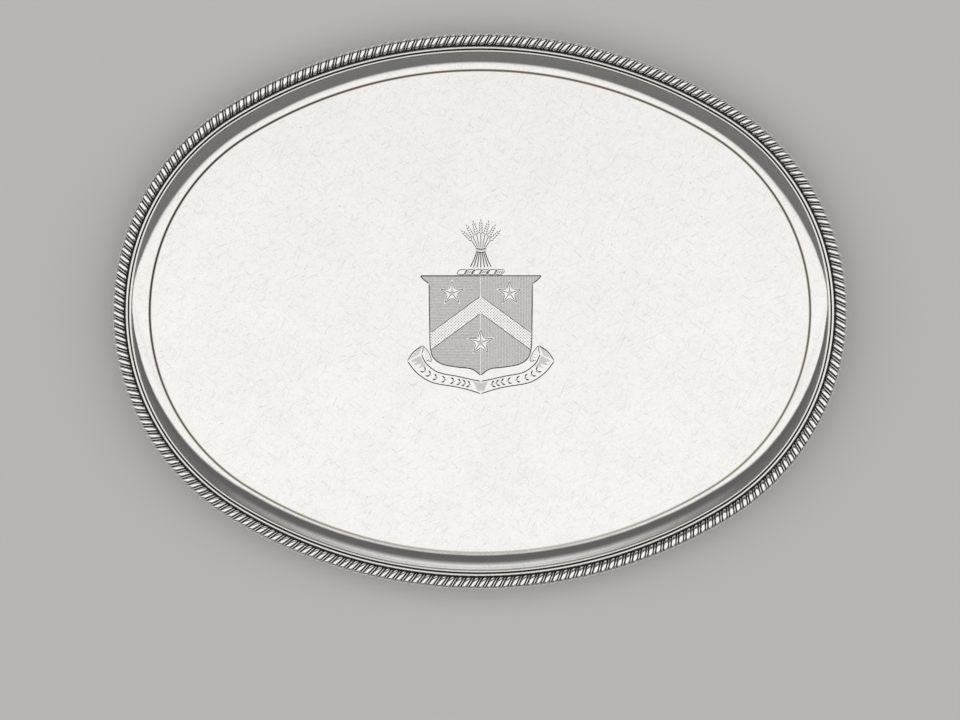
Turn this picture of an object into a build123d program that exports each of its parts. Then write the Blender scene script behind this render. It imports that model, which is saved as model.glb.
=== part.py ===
from build123d import *
import math
import os

# An oval silver salver: a raised sheet plate, a reeded wire and eight cast gadroon sections soldered
# round its flange, and four cast bracket feet soldered under the edge of its flat well.
# Millimetres, +Z up, the long axis along X. The origin is on the ground, midway between the feet.
# In every section below, "inset" is the distance inwards from the outer edge of the gadroons.

# The oval: two end arcs and two side arcs that meet in a common tangent
length = 406.4             # over the gadroons, along X
width = 307.6              # over the gadroons, along Y
join_angle = 58.3          # degrees from the X axis to the point where an end arc meets a side arc

# The plate, one sheet
sheet = 1.2                # thickness of the sheet
cavetto_radius = 18.7      # hollow of the raised side
cavetto_start = 16.0       # slope in degrees where the side leaves the flat well, at a crease
cavetto_end = 48.0         # slope in degrees where it meets the flange

# The border castings
gadroon_width = 7.1        # in plan
gadroon_height = 2.9       # crest above the flange
gadroon_round = 3.1        # radius of the back from its outer edge to its crest
gadroon_inner_height = 0.8  # inner wall above the flange, at the recess beside the wire
gadroon_overhang = 1.6     # how far a casting stands out past the edge of the sheet
gadroon_lip = 0.6          # how far its lip hangs below the sheet
castings_per_arc = 2       # each arc's border is cast in this many equal lengths

# The reeded wire
wire_base = 0.3            # thickness of the wire under and between its reeds
outer_reed = 0.88          # radius
inner_reed = 0.7           # radius
reed_gap = 0.2             # flat beside and between the reeds

# The feet
foot_height = 16.0         # ground to the underside of the well
foot_angle = 44.0          # degrees from the X axis, about the centre of the end arc
foot_setback = 6.5         # from the crease in to the middle of a foot's palm
foot_width = 46.0          # across the shoulders
foot_wall = 2.6            # thickness of the bracket
foot_splay = 5.5           # how far the toe stands out past the palm
palm_thickness = 1.2       # plate that is soldered to the underside
palm_depth = 9.0           # in plan, across the bracket
palm_margin = 1.5          # how far the palm reaches past each shoulder
toe_width = 15.0           # of the bracket, where it meets the toe
toe_depth = 8.5            # pad that stands on the ground
toe_height = 2.4
toe_margin = 2.0           # how far the pad reaches past the bracket at each side
toe_round = 0.8            # rounding of the pad's upper edge

# The arcs' radii and centres, from the two overall sizes and the angle of the join
half_length = length / 2
half_width = width / 2
join_ratio = 1 / math.cos(math.radians(join_angle)) - math.tan(math.radians(join_angle))
end_radius = (half_width - half_length * join_ratio) / (1 - join_ratio)
side_radius = end_radius + (half_length - end_radius) / math.cos(math.radians(join_angle))
end_centre = half_length - end_radius
side_centre = side_radius - half_width

# Each arc of the oval: its centre, outer radius and first and last angles, going round from +X
oval_arcs = [
    ((end_centre, 0), end_radius, -join_angle, join_angle),
    ((0, -side_centre), side_radius, join_angle, 180 - join_angle),
    ((-end_centre, 0), end_radius, 180 - join_angle, 180 + join_angle),
    ((0, side_centre), side_radius, 180 + join_angle, 360 - join_angle),
]

# The section's insets and heights
start_slope = math.radians(cavetto_start)
end_slope = math.radians(cavetto_end)
wire_width = 2 * outer_reed + 2 * inner_reed + 3 * reed_gap
wire_inset = gadroon_width
cavetto_inset = wire_inset + wire_width
crease_inset = cavetto_inset + cavetto_radius * (math.sin(end_slope) - math.sin(start_slope))
well_top = foot_height + sheet
flange_top = well_top + cavetto_radius * (math.cos(start_slope) - math.cos(end_slope))
hollow_inset = crease_inset + cavetto_radius * math.sin(start_slope)
hollow_height = well_top + cavetto_radius * math.cos(start_slope)
foot_reach = end_radius - crease_inset - foot_setback  # from the end arc's centre to a palm's middle


def under_cavetto(height):
    """Inset of the sheet's underside at this height, on the arc one sheet outside the hollow's."""
    rise = hollow_height - height
    return hollow_inset - math.sqrt((cavetto_radius + sheet) ** 2 - rise**2)


def ring_piece(section, centre, radius, first, last):
    """Turns a section about an arc's centre. The section's X is minus the inset, and its Y the height."""
    direction = (math.cos(math.radians(first)), math.sin(math.radians(first)), 0)
    start = Plane(
        origin=(centre[0], centre[1], 0),
        x_dir=direction,
        z_dir=(direction[1], -direction[0], 0),
    )
    placed = start * Pos(radius, 0, 0) * section
    axis = Axis((centre[0], centre[1], 0), (0, 0, 1))
    return revolve(placed, axis, revolution_arc=last - first)


def whole_ring(section):
    """The section turned about all four arcs, as one solid."""
    ring = ring_piece(section, *oval_arcs[0])
    for arc in oval_arcs[1:]:
        ring += ring_piece(section, *arc)
    return ring


def oval_face(inset, height):
    """A flat face with the oval's outline at this inset."""
    edges = [
        CenterArc((centre[0], centre[1], height), radius - inset, first, last - first)
        for centre, radius, first, last in oval_arcs
    ]
    return make_face(edges)


def side_point(slope, radius):
    """The point (minus inset, height) of an arc about the cavetto's centre, at this slope."""
    return (
        -(hollow_inset - radius * math.sin(slope)),
        hollow_height - radius * math.cos(slope),
    )


def make_plate():
    """Flat well, hollow raised side and flat flange, of one thickness throughout."""
    middle_slope = (start_slope + end_slope) / 2
    flange_under = flange_top - sheet
    foot_of_side = (-crease_inset, well_top)
    top_of_side = (-cavetto_inset, flange_top)
    under_top = (-under_cavetto(flange_under), flange_under)
    under_foot = (-under_cavetto(foot_height), foot_height)
    edge = -gadroon_overhang
    section = make_face(
        [
            ThreePointArc(foot_of_side, side_point(middle_slope, cavetto_radius), top_of_side),
            Line(top_of_side, (edge, flange_top)),
            Line((edge, flange_top), (edge, flange_under)),
            Line((edge, flange_under), under_top),
            ThreePointArc(under_top, side_point(middle_slope, cavetto_radius + sheet), under_foot),
            Line(under_foot, (-crease_inset, foot_height)),
            Line((-crease_inset, foot_height), foot_of_side),
        ]
    )
    well = extrude(oval_face(crease_inset, foot_height), amount=sheet, dir=(0, 0, 1))
    return whole_ring(section) + well


def make_reeded_wire():
    """A flat-backed wire with two half-round reeds, the wider one beside the gadroons."""
    floor = flange_top + wire_base
    outer_first = wire_inset + reed_gap
    outer_last = outer_first + 2 * outer_reed
    inner_first = outer_last + reed_gap
    inner_last = inner_first + 2 * inner_reed
    outer_crest = (-(outer_first + outer_reed), floor + outer_reed)
    inner_crest = (-(inner_first + inner_reed), floor + inner_reed)
    section = make_face(
        [
            Line((-wire_inset, flange_top), (-wire_inset, floor)),
            Line((-wire_inset, floor), (-outer_first, floor)),
            ThreePointArc((-outer_first, floor), outer_crest, (-outer_last, floor)),
            Line((-outer_last, floor), (-inner_first, floor)),
            ThreePointArc((-inner_first, floor), inner_crest, (-inner_last, floor)),
            Line((-inner_last, floor), (-cavetto_inset, floor)),
            Line((-cavetto_inset, floor), (-cavetto_inset, flange_top)),
            Line((-cavetto_inset, flange_top), (-wire_inset, flange_top)),
        ]
    )
    return whole_ring(section)


def gadroon_section():
    """The casting's round back, over a step that fits the edge of the flange. One arc is upright at
    the outer edge and rises to the crest, and a flatter one falls from the crest to the inner wall."""
    crest_height = flange_top + gadroon_height
    centre_height = crest_height - gadroon_round
    lip_height = flange_top - sheet - gadroon_lip
    lip_inset = gadroon_round - math.sqrt(gadroon_round**2 - (centre_height - lip_height) ** 2)
    run = gadroon_width - gadroon_round
    fall = gadroon_height - gadroon_inner_height
    inner_round = (run**2 + fall**2) / (2 * fall)
    half_slope = math.asin(run / inner_round) / 2
    crest = (-gadroon_round, crest_height)
    outer_middle = (
        -gadroon_round * (1 - math.sqrt(0.5)),
        centre_height + gadroon_round * math.sqrt(0.5),
    )
    inner_middle = (
        -(gadroon_round + inner_round * math.sin(half_slope)),
        crest_height - inner_round * (1 - math.cos(half_slope)),
    )
    inner_top = (-gadroon_width, flange_top + gadroon_inner_height)
    outer_low = (-lip_inset, lip_height)
    inner_low = (-gadroon_overhang, lip_height)
    step = (-gadroon_overhang, flange_top)
    inner_foot = (-gadroon_width, flange_top)
    return make_face(
        [
            ThreePointArc(outer_low, outer_middle, crest),
            ThreePointArc(crest, inner_middle, inner_top),
            Line(inner_top, inner_foot),
            Line(inner_foot, step),
            Line(step, inner_low),
            Line(inner_low, outer_low),
        ]
    )


def make_border():
    """The castings, counted round from the +X end. Each lies on one arc, because they join where the
    arcs join and at the ends of the oval's two axes."""
    section = gadroon_section()
    castings = []
    for centre, radius, first, last in oval_arcs:
        step = (last - first) / castings_per_arc
        for index in range(castings_per_arc):
            begin = first + index * step
            castings.append(ring_piece(section, centre, radius, begin, begin + step))
    return castings[1:] + castings[:1]


def make_foot():
    """A bracket foot. Its origin is on the underside of the well, over the middle of the palm, and +X
    points outwards. The bracket is an ogee wall, bowed in plan and cut to hollow shoulders."""
    wall_top = -palm_thickness / 2
    toe_top = toe_height - foot_height
    wall_end = toe_top - toe_height / 2
    middle = (wall_top + wall_end) / 2
    half_wall = foot_wall / 2
    wall_lines = []
    for side in (-half_wall, half_wall):
        wall_lines.append(
            Bezier(
                (side, wall_top),
                (side, middle),
                (foot_splay + side, middle),
                (foot_splay + side, wall_end),
            )
        )
    section = make_face(
        [
            wall_lines[0],
            Line((foot_splay - half_wall, wall_end), (foot_splay + half_wall, wall_end)),
            wall_lines[1],
            Line((half_wall, wall_top), (-half_wall, wall_top)),
        ]
    )
    half_turn = math.degrees((foot_width / 2 + palm_margin) / foot_reach)
    upright = Plane(origin=(-foot_reach, 0, 0), x_dir=(1, 0, 0), z_dir=(0, -1, 0))
    swept = revolve(
        upright * Pos(foot_reach, 0, 0) * section,
        Axis((-foot_reach, 0, 0), (0, 0, 1)),
        revolution_arc=half_turn,
    )
    wall = swept + mirror(swept, Plane.XZ)

    shoulder = -palm_thickness
    half_toe = toe_width / 2
    half_foot = foot_width / 2
    outline = make_face(
        [
            Line((-half_foot, 0), (half_foot, 0)),
            Line((half_foot, 0), (half_foot, shoulder)),
            EllipticalCenterArc(
                (half_foot, toe_top),
                half_foot - half_toe,
                shoulder - toe_top,
                start_angle=90,
                arc_size=90,
            ),
            Line((half_toe, toe_top), (half_toe, wall_end)),
            Line((half_toe, wall_end), (-half_toe, wall_end)),
            Line((-half_toe, wall_end), (-half_toe, toe_top)),
            EllipticalCenterArc(
                (-half_foot, toe_top),
                half_foot - half_toe,
                shoulder - toe_top,
                start_angle=0,
                arc_size=90,
            ),
            Line((-half_foot, shoulder), (-half_foot, 0)),
        ]
    )
    reach = foot_splay + foot_width
    bracket = wall & extrude(Plane.YZ * outline, amount=reach, both=True)

    palm_turn = math.degrees((half_foot + palm_margin - palm_depth / 2) / foot_reach)
    palm_line = CenterArc((-foot_reach, 0), foot_reach, -palm_turn, 2 * palm_turn)
    palm = extrude(SlotArc(palm_line, palm_depth), amount=-palm_thickness)

    pad_length = toe_width + 2 * toe_margin
    pad_face = Rot(0, 0, 90) * SlotOverall(pad_length, toe_depth)
    pad = Pos(foot_splay, 0, -foot_height) * extrude(pad_face, amount=toe_height)
    top_edge = pad.faces().sort_by(Axis.Z)[-1].edges()
    pad = fillet(top_edge, toe_round)
    return bracket + palm + pad


def place_foot(foot, turn):
    """Puts a foot under the well's edge, in the quarter that this turn points to."""
    across = end_centre * math.copysign(1, math.cos(math.radians(turn)))
    return Pos(across, 0, foot_height) * Rot(0, 0, turn) * Pos(foot_reach, 0, 0) * foot


os.makedirs("parts", exist_ok=True)
export_step(make_plate(), "parts/plate.step")
export_step(make_reeded_wire(), "parts/reeded_wire.step")
for number, casting in enumerate(make_border(), 1):
    export_step(casting, f"parts/gadroon_section_{number}.step")
foot_turns = {
    "foot_rear_right": foot_angle,
    "foot_rear_left": 180 - foot_angle,
    "foot_front_left": 180 + foot_angle,
    "foot_front_right": -foot_angle,
}
bracket_foot = make_foot()
for name, turn in foot_turns.items():
    export_step(place_foot(bracket_foot, turn), f"parts/{name}.step")
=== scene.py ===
import math

import bpy
import numpy as np
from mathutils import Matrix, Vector, geometry


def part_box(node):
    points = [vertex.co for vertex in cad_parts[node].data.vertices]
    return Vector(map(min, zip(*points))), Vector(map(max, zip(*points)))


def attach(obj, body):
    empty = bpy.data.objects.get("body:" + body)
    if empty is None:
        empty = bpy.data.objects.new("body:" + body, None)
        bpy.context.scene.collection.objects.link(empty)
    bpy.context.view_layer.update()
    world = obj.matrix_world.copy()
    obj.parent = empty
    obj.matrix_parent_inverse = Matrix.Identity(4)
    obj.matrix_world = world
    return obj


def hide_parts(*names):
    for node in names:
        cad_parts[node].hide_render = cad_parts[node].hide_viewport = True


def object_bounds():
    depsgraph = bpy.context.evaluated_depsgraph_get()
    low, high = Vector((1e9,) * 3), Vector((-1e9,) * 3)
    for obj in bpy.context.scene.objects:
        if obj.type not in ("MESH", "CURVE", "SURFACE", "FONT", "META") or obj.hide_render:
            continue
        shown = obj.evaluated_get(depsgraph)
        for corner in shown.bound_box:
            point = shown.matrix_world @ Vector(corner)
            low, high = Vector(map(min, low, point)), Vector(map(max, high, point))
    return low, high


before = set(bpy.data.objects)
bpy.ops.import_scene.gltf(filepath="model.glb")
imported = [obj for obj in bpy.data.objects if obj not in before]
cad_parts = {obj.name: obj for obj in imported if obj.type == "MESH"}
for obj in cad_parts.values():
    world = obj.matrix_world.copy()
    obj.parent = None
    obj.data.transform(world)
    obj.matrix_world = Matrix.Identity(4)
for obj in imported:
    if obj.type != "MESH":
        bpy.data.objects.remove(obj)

cadLow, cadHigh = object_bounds()  # the CAD box
mm = 0.001  # everything below is in millimetres until it goes into a mesh
print("frame loaded:", len(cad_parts), "nodes")

# The oval, in plan.

oval = {
    "halfLength": cadHigh.x / mm,
    "halfWidth": cadHigh.y / mm,
    "joinAngle": 58.3,  # degrees from the X axis to where an end arc meets a side arc
    "lobesPerEndCasting": 30,
    "lobesPerSideCasting": 32,
}
joinTurn = math.radians(oval["joinAngle"])
joinRatio = 1 / math.cos(joinTurn) - math.tan(joinTurn)
endRadius = (oval["halfWidth"] - oval["halfLength"] * joinRatio) / (1 - joinRatio)
sideRadius = endRadius + (oval["halfLength"] - endRadius) / math.cos(joinTurn)
endCentre = oval["halfLength"] - endRadius
sideCentre = sideRadius - oval["halfWidth"]

# each casting's arc: centre X, centre Y, outer radius, first angle, last angle, how many lobes
quarterTurn = math.pi / 2
endLobes, sideLobes = oval["lobesPerEndCasting"], oval["lobesPerSideCasting"]
castings = np.array([
    (endCentre, 0, endRadius, 0, joinTurn, endLobes),
    (0, -sideCentre, sideRadius, joinTurn, quarterTurn, sideLobes),
    (0, -sideCentre, sideRadius, quarterTurn, math.pi - joinTurn, sideLobes),
    (-endCentre, 0, endRadius, math.pi - joinTurn, math.pi, endLobes),
    (-endCentre, 0, endRadius, math.pi, math.pi + joinTurn, endLobes),
    (0, sideCentre, sideRadius, math.pi + joinTurn, 3 * quarterTurn, sideLobes),
    (0, sideCentre, sideRadius, 3 * quarterTurn, 2 * math.pi - joinTurn, sideLobes),
    (endCentre, 0, endRadius, 2 * math.pi - joinTurn, 2 * math.pi, endLobes),
])
lobeEnds = np.cumsum(castings[:, 5])
lobeStarts = lobeEnds - castings[:, 5]
lobeTotal = lobeEnds[-1]


# A place round the border is a lobe count from the +X end, anticlockwise. Its arc is looked up, the count
# becomes an angle about that arc's centre, and the point is centre + (radius - inset) * (cos, sin).
def aroundOval(lobeCount, inset, height):
    lobeCount, inset, height = np.broadcast_arrays(lobeCount, inset, height)
    count = np.mod(lobeCount, lobeTotal)
    index = np.minimum(np.searchsorted(lobeEnds, count, side="right"), len(castings) - 1)
    centreX, centreY, radius, first, last, lobes = np.moveaxis(castings[index], -1, 0)
    angle = first + (count - lobeStarts[index]) / lobes * (last - first)
    reach = radius - inset
    return np.stack([centreX + reach * np.cos(angle), centreY + reach * np.sin(angle), height], axis=-1)


# The section, from the plate's box and the design's own sizes.

plateLow, plateHigh = (np.array(corner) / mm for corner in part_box("plate"))
section = {
    "sheet": 1.2,
    "cavettoRadius": 18.7,
    "cavettoStart": 16.0,  # degrees of slope where the side leaves the well
    "cavettoEnd": 48.0,  # degrees of slope at the flange
    "gadroonWidth": 7.1,
    "gadroonHeight": 2.9,  # crest above the flange
    "gadroonRound": 3.1,  # radius of the back from its outer edge to its crest
    "gadroonInnerHeight": 0.8,
    "gadroonOverhang": 1.6,
    "gadroonLip": 0.6,
    "wireWidth": 3.76,
}
wellUnder = plateLow[2]
wellTop = wellUnder + section["sheet"]
flangeTop = plateHigh[2]
startSlope, endSlope = math.radians(section["cavettoStart"]), math.radians(section["cavettoEnd"])
cavettoInset = section["gadroonWidth"] + section["wireWidth"]
creaseInset = cavettoInset + section["cavettoRadius"] * (math.sin(endSlope) - math.sin(startSlope))
hollowInset = creaseInset + section["cavettoRadius"] * math.sin(startSlope)
hollowHeight = wellTop + section["cavettoRadius"] * math.cos(startSlope)


# Making meshes.

# Joins a closed set of faces into an object. faceSets are integer arrays, one row per face. The signed
# volume, a sixth of the sum of every corner's v0 . (v1 x v2), says whether the faces point outwards.
# patina is one value a point, and clean is one a face, in the order of the sets.
def meshPiece(name, points, faceSets, material, patina, sharp=35, flatSets=(), clean=None, buffed=None):
    points = np.asarray(points, float) * mm
    volume = 0.0
    for faces in faceSets:
        for corner in range(1, faces.shape[1] - 1):
            a, b, c = points[faces[:, 0]], points[faces[:, corner]], points[faces[:, corner + 1]]
            volume += np.einsum("ij,ij->", a, np.cross(b, c)) / 6
    if volume < 0:
        faceSets = [faces[:, ::-1] for faces in faceSets]
    corners = np.concatenate([faces.ravel() for faces in faceSets]).astype(np.int32)
    sizes = np.concatenate([np.full(len(faces), faces.shape[1]) for faces in faceSets])
    starts = np.concatenate([[0], np.cumsum(sizes)[:-1]]).astype(np.int32)
    smooth = np.concatenate([np.full(len(faces), i not in flatSets) for i, faces in enumerate(faceSets)])
    mesh = bpy.data.meshes.new(name)
    mesh.vertices.add(len(points))
    mesh.vertices.foreach_set("co", points.astype(np.float32).ravel())
    mesh.loops.add(len(corners))
    mesh.loops.foreach_set("vertex_index", corners)
    mesh.polygons.add(len(sizes))
    mesh.polygons.foreach_set("loop_start", starts)
    mesh.polygons.foreach_set("use_smooth", smooth)
    mesh.update(calc_edges=True)
    if mesh.validate():
        print("  repaired", name)
    mesh.set_sharp_from_angle(angle=math.radians(sharp))
    values = np.asarray(patina, float)[corners]
    if clean is not None:  # faces without tarnish, whatever their corners say
        values = values * ~np.repeat(clean, sizes)
    dark = mesh.attributes.new("patina", "FLOAT", "CORNER")
    dark.data.foreach_set("value", values.astype(np.float32))
    if buffed is not None:
        bright = mesh.attributes.new("buffed", "FLOAT", "POINT")
        bright.data.foreach_set("value", buffed.astype(np.float32))
    mesh.materials.append(material)
    piece = bpy.data.objects.new(name, mesh)
    bpy.context.scene.collection.objects.link(piece)
    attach(piece, "root")
    triangles = int(np.sum(sizes - 2))
    print(f"  {name}: {triangles} triangles, {abs(volume) * 1e6:.2f} cm3")
    return piece


# Quads of a rows by columns grid of points, wrapped round in either direction.
def gridFaces(rows, columns, wrapRows=False, wrapColumns=False):
    index = np.arange(rows * columns).reshape(rows, columns)
    if wrapRows:
        index = np.vstack([index, index[:1]])
    if wrapColumns:
        index = np.hstack([index, index[:, :1]])
    return np.stack([index[:-1, :-1], index[1:, :-1], index[1:, 1:], index[:-1, 1:]], -1).reshape(-1, 4)


# Triangles from a closed ring of points to one centre point.
def fanFaces(ring, centre, backwards=False):
    after = np.roll(ring, -1)
    pair = (after, ring) if backwards else (ring, after)
    return np.stack([*pair, np.full(len(ring), centre)], -1)


# A closed solid from a grid of rings: its points with one more in the middle of each end, and its faces.
def closedLoft(points):
    rows, columns = points.shape[:2]
    allPoints = np.concatenate([points.reshape(-1, 3), points[[0, -1]].mean(axis=1)])
    faces = [
        gridFaces(rows, columns, wrapColumns=True),
        fanFaces(np.arange(columns), rows * columns, backwards=True),
        fanFaces(np.arange(columns) + (rows - 1) * columns, rows * columns + 1),
    ]
    return allPoints, faces


def smoothStep(x):
    x = np.clip(x, 0, 1)
    return x * x * (3 - 2 * x)


# Materials.

def linear(hexColour):  # sRGB hex to the linear numbers that a shader takes
    channels = np.array([int(hexColour[i:i + 2], 16) for i in (0, 2, 4)]) / 255
    values = np.where(channels <= 0.04045, channels / 12.92, ((channels + 0.055) / 1.055) ** 2.4)
    return (*(float(v) for v in values), 1.0)


# An input's value is a number or colour, a socket to link, or a node, whose first output in use is linked.
def addNode(tree, kind, inputs=None, **settings):
    node = tree.nodes.new("ShaderNode" + kind)
    for name, value in settings.items():
        setattr(node, name, value)
    for name, value in (inputs or {}).items():
        if isinstance(value, bpy.types.Node):
            value = next(socket for socket in value.outputs if socket.enabled)
        if isinstance(value, bpy.types.NodeSocket):
            tree.links.new(value, node.inputs[name])
        else:
            node.inputs[name].default_value = value
    return node


def perMm(size):  # texture scale on Object coordinates for a feature of this size
    return 1 / (size * mm)


silver = {
    "bare": "F9F8F6",  # sterling silver is the whitest metal, very slightly warm
    "worn": "F3F2EE",  # where cleaning has hazed it
    "dirt": "6E6A62",  # what scratches and pits hold
    "thinTarnish": "B8AD9B",  # sulphide starts straw-brown where it is thin
    "tarnish": "1C1510",  # and is brown-black where it stays in hollows
    "thinPatina": (0.0, 0.45),  # the patina over which each colour comes in
    "thickPatina": (0.3, 0.95),
    "tarnishMetallic": 0.35,
    "tarnishRoughness": 0.45,  # what a full patina adds
    "cloudSize": 26.0,
    "hazeRange": (0.35, 0.7),  # of the clouds' noise, from no haze to the most
    "hazeShare": 0.5,
    "satinRange": (0.3, 0.7),
    "satinSpread": (0.9, 1.15),  # how much the clouds change the roughness
    "grainSize": 0.8,  # fine polishing marks, drawn coarser than real ones so that they show
    "grainRange": (0.42, 0.75),
    "grainShare": 0.1,
    "scratchWidth": 0.42,  # and so are the single scratches
    "scratchLength": 6.5,
    "scratchTurns": (24, 68, 141),
    "scratchRange": (0.62, 0.74),
    "scratchShare": 0.27,
    "pitSpacing": 3.1,
    "pitRange": (0.35, 0.9),  # of a cell's random value, from no pit to the largest
    "pitRadius": 0.14,  # the largest, and the width of a pit's edge, in spacings
    "pitEdge": 0.06,
    "pitShare": 0.5,
    "planishSize": 20.0,  # hammer marks left in the sheet
    "planishDepth": 0.12,
    "markDepth": 0.01,
}


# Silver with tarnish where the patina attribute is. Wear is a share from 0, fresh polish, to 1.
def silverMaterial(name, roughness, buffedRoughness, wear):
    material = bpy.data.materials.new(name)
    material.use_nodes = True
    tree = material.node_tree
    tree.nodes.clear()
    place = addNode(tree, "TexCoord").outputs["Object"]
    noise = {}
    for kind, detail, falloff in (("cloud", 4.0, 0.55), ("planish", 1.0, 0.5), ("grain", 2.0, 0.6)):
        noise[kind] = addNode(tree, "TexNoise", {
            "Vector": place, "Scale": perMm(silver[kind + "Size"]), "Detail": detail, "Roughness": falloff,
        })
    layers = [(noise["grain"], silver["grainRange"], silver["grainShare"])]
    # families of fine scratches: noise drawn out along a direction, and only its highest parts
    for turn in silver["scratchTurns"]:
        length, width = silver["scratchLength"] * mm, silver["scratchWidth"] * mm
        along = addNode(tree, "Mapping", {
            "Vector": place, "Rotation": (0, 0, math.radians(turn)), "Scale": (length, width, length),
        }, vector_type="TEXTURE")
        streaks = addNode(tree, "TexNoise", {
            "Vector": along, "Scale": 1.0, "Detail": 1.5, "Distortion": 0.4,
        })
        layers.append((streaks, silver["scratchRange"], silver["scratchShare"]))
    # one pit to a cell, of a size that the cell's own random colour gives, down to none
    cells = addNode(tree, "TexVoronoi", {"Vector": place, "Scale": perMm(silver["pitSpacing"])})
    size = addNode(tree, "MapRange", {
        "Value": cells.outputs["Color"], "From Min": silver["pitRange"][0],
        "From Max": silver["pitRange"][1], "To Max": silver["pitRadius"],
    })
    inside = addNode(tree, "Math", {0: size, 1: cells.outputs["Distance"]}, operation="SUBTRACT")
    layers.append((inside, (0.0, silver["pitEdge"]), silver["pitShare"]))
    marks = 0.0
    for value, (first, last), share in layers:
        layer = addNode(tree, "MapRange", {
            "Value": value, "From Min": first, "From Max": last, "To Max": share * wear,
        })
        marks = addNode(tree, "Math", {0: marks, 1: layer}, operation="MAXIMUM")

    patina = addNode(tree, "Attribute", attribute_name="patina").outputs["Fac"]
    colour = linear(silver["bare"])
    for tint, value, (first, last), share in (
        ("worn", noise["cloud"], silver["hazeRange"], silver["hazeShare"] * wear),
        ("dirt", marks, (0.0, 1.0), 1.0),
        ("thinTarnish", patina, silver["thinPatina"], 1.0),
        ("tarnish", patina, silver["thickPatina"], 1.0),
    ):
        amount = addNode(tree, "MapRange", {
            "Value": value, "From Min": first, "From Max": last, "To Max": share,
        })
        colour = addNode(tree, "Mix", {
            "Factor": amount, "A": colour, "B": linear(silver[tint]),
        }, data_type="RGBA")
    satin = addNode(tree, "MapRange", {
        "Value": noise["cloud"], "From Min": silver["satinRange"][0], "From Max": silver["satinRange"][1],
        "To Min": roughness * silver["satinSpread"][0], "To Max": roughness * silver["satinSpread"][1],
    })
    buffed = addNode(tree, "Attribute", attribute_name="buffed").outputs["Fac"]
    polished = addNode(tree, "Mix", {"Factor": buffed, "A": satin, "B": buffedRoughness})
    dulled = addNode(tree, "MapRange", {"Value": patina, "To Max": silver["tarnishRoughness"]})
    rough = addNode(tree, "Math", {0: polished, 1: dulled}, operation="ADD")
    metal = addNode(tree, "MapRange", {
        "Value": patina, "To Min": 1.0, "To Max": silver["tarnishMetallic"],
    })
    swells = addNode(tree, "Bump", {
        "Height": noise["planish"], "Distance": silver["planishDepth"] * mm, "Strength": 1.0,
    })
    cuts = addNode(tree, "Bump", {
        "Height": marks, "Distance": silver["markDepth"] * mm, "Strength": wear, "Normal": swells,
    }, invert=True)
    shader = addNode(tree, "BsdfPrincipled", {
        "Base Color": colour, "Metallic": metal, "Roughness": rough, "Normal": cuts,
    })
    addNode(tree, "OutputMaterial", {"Surface": shader})
    return material


# Hand polishing leaves the sheet satin, with crossing scratches, pits and the swells of the hammer. Chased
# castings and drawn wire are near mirrors, and show their shape by the tarnish left in their hollows.
sheetSilver = silverMaterial("hand_polished_silver_sheet", 0.16, 0.05, wear=1.0)
castSilver = silverMaterial("chased_cast_silver", 0.08, 0.08, wear=0.3)
wireSilver = silverMaterial("drawn_silver_wire", 0.08, 0.08, wear=0.3)
print("materials made")


# The gadroon castings.

gadroon = {
    "lean": 25.0,  # degrees between the lobes and a straight radial line
    "pitch": 4.57,  # mean distance from lobe to lobe
    "lobe": (0.04, 0.60),  # where the wide lobe starts and ends, as shares of a pitch
    "reed": (0.715, 0.905),  # and the narrow reed beside it
    "lobeHeight": 0.85,  # above the groove
    "reedHeight": 0.6,
    "fullness": 2.5,  # 2 makes an elliptic section, and more a squarer one
    "innerTip": 1.5,  # length over which a lobe's end is rounded
    "outerTip": 0.9,
    "lobeSteps": 10,
    "reedSteps": 6,
    "outerSteps": 15,  # points over the back, from lip to crest and from crest to wall
    "innerSteps": 15,
    "tarnishFrom": 0.26,  # how far down a lobe's side tarnish starts, as a share of its height
    "endTarnishFrom": 0.4,  # and how far round its inner end
    "tarnishOver": 0.4,
    "clearedShare": 0.75,  # what polishing takes off again near the outer edge
    "clearedTo": 2.0,
    "clearedOver": 1.5,
}


# Places and heights over one pitch: a superellipse for the lobe and another for the reed, each
# |u|^n + h^n = 1, where u runs from -1 to 1 across it. Between them is flat groove.
def lobeProfile():
    places, across, heights = [], [], []
    for (start, end), height, steps in (
        (gadroon["lobe"], gadroon["lobeHeight"], gadroon["lobeSteps"]),
        (gadroon["reed"], gadroon["reedHeight"], gadroon["reedSteps"]),
    ):
        angle = np.linspace(math.pi, 0, steps + 1)
        u = np.sign(np.cos(angle)) * np.abs(np.cos(angle)) ** (2 / gadroon["fullness"])
        places.append((start + end) / 2 + (end - start) / 2 * u)
        across.append(u)
        heights.append(np.full(steps + 1, height))
    return np.concatenate(places), np.concatenate(across), np.concatenate(heights)


# The back is two arcs, from the lip up to the crest and from the crest down to the inner wall. Gives
# along it the inset, the height, the outward normal as (inset, height), and the distance from the crest.
def castingBack():
    outer, width = section["gadroonRound"], section["gadroonWidth"]
    crestHeight = flangeTop + section["gadroonHeight"]
    lipHeight = flangeTop - section["sheet"] - section["gadroonLip"]
    run, fall = width - outer, section["gadroonHeight"] - section["gadroonInnerHeight"]
    inner = (run ** 2 + fall ** 2) / (2 * fall)
    lowest = math.asin((lipHeight - (crestHeight - outer)) / outer)
    rising = np.linspace(lowest, quarterTurn, gadroon["outerSteps"])
    falling = np.linspace(0, math.asin(run / inner), gadroon["innerSteps"])[1:]
    inset = np.concatenate([outer - outer * np.cos(rising), outer + inner * np.sin(falling)])
    height = np.concatenate([
        crestHeight - outer + outer * np.sin(rising), crestHeight - inner + inner * np.cos(falling),
    ])
    normalInset = np.concatenate([-np.cos(rising), np.sin(falling)])
    normalHeight = np.concatenate([np.sin(rising), np.cos(falling)])
    distance = np.concatenate([-outer * (quarterTurn - rising), inner * falling])
    return inset, height, normalInset, normalHeight, distance


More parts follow.
